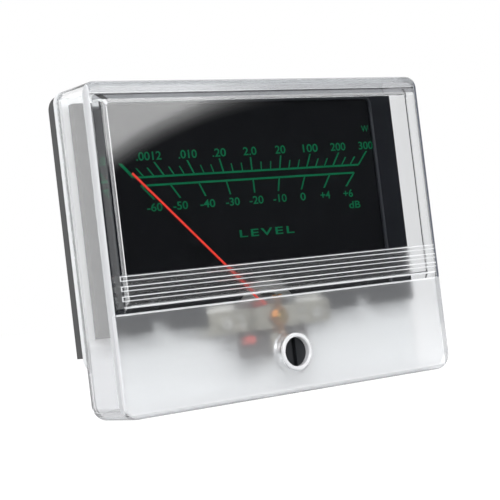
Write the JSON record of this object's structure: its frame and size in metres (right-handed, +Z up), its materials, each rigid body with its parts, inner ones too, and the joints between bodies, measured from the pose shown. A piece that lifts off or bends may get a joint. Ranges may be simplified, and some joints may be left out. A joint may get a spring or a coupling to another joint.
{
  "type": "analog panel meter",
  "caption": "Rectangular level meter with a clear moulded cover, raised window, black dial, red pointer, zero adjuster, round rear can, panel studs and screw terminals.",
  "frame": {"origin": "middle of the flat foot of the clear cover, half way between its face and its rim", "axes": "+X to the viewer's right, +Y from the face into the meter, +Z up"},
  "size_m": [0.134, 0.0513, 0.1016],
  "materials": {
    "clear_acrylic": "clear moulded, polished window, frosted below",
    "clear_acrylic_back": "clear moulded with a green edge",
    "plated": "bright plated",
    "black_plastic": "moulded, satin",
    "dial_black": "matt black print",
    "black_steel": "blackened",
    "pale_plastic": "moulded, natural",
    "opal": "opal",
    "steel": "nickel plated",
    "red_paint": "matt red paint",
    "aluminium": "satin",
    "brass": "turned",
    "copper": "bare copper alloy",
    "nickel_silver": "grey-beige nickel silver",
    "steel_ring": "bare soft iron",
    "magnet": "ground magnet alloy",
    "red_brown": "lacquer",
    "board_green": "lacquered board",
    "lamp_yellow": "lamp body",
    "component_black": "moulded component"
  },
  "bodies": {
    "case": {"front_cover": "clear_acrylic", "zero_bezel": "plated", "dial_carrier": "black_plastic", "dial_plate": "dial_black", "dial_screws": "black_steel", "pointer_stops": "black_steel", "light_diffuser": "opal", "diffuser_screws": "steel", "rear_hairspring": "copper", "front_bridge": "nickel_silver", "bridge_screws": "steel", "bridge_rivets": "steel", "front_jewel_screw": "brass", "rear_jewel_screw": "brass", "jewel_nuts": "brass", "movement_base": "pale_plastic", "movement_screws": "steel", "yoke_ring": "steel_ring", "magnet_blocks": "magnet", "magnet_spacer": "nickel_silver", "iron_core": "magnet", "core_clamps": "brass", "rear_bridge": "nickel_silver", "rear_bridge_screws": "steel", "series_resistor": "red_brown", "back_plate": "clear_acrylic_back", "rear_housing": "black_plastic", "rear_can": "black_plastic", "case_screws": "black_steel", "mounting_studs": "steel", "lamp_board": "board_green", "lamps": "lamp_yellow", "lamp_pins": "steel", "rectifier_board": "board_green", "board_parts": "component_black", "board_screws": "steel", "terminal_studs": "brass", "terminal_washers": "steel", "solder_lugs": "steel", "terminal_nuts": "brass"},
    "moving_coil": {"pointer": "red_paint", "pointer_hub": "aluminium", "counterweights": "brass", "coil_former": "aluminium", "coil_winding": "copper", "pivots": "steel", "spring_collets": "brass"},
    "zero_adjuster": {"zero_screw": "black_plastic", "zero_crank": "brass"},
    "zero_arm": {"zero_lever": "copper", "front_hairspring": "copper"}
  },
  "joints": [
    {"name": "pointer_swing", "type": "hinge", "parent": "case", "child": "moving_coil", "pos_m": [0, 0.0034, 0.025], "axis": [0, 1, 0], "range_deg": [-2, 92.2], "stiffness_Nm_per_rad": 0.0008},
    {"name": "zero_turn", "type": "hinge", "parent": "case", "child": "zero_adjuster", "pos_m": [0, -0.0066, 0.0132], "axis": [0, 1, 0], "range_deg": [-35, 35]},
    {"name": "zero_arm_swing", "type": "hinge", "parent": "case", "child": "zero_arm", "pos_m": [0, -0.0016, 0.025], "axis": [0, 1, 0], "range_deg": [-9, 9]}
  ],
  "couplings": [
    {"joint": "zero_arm_swing", "follows": "zero_turn", "ratio": -0.25}
  ]
}
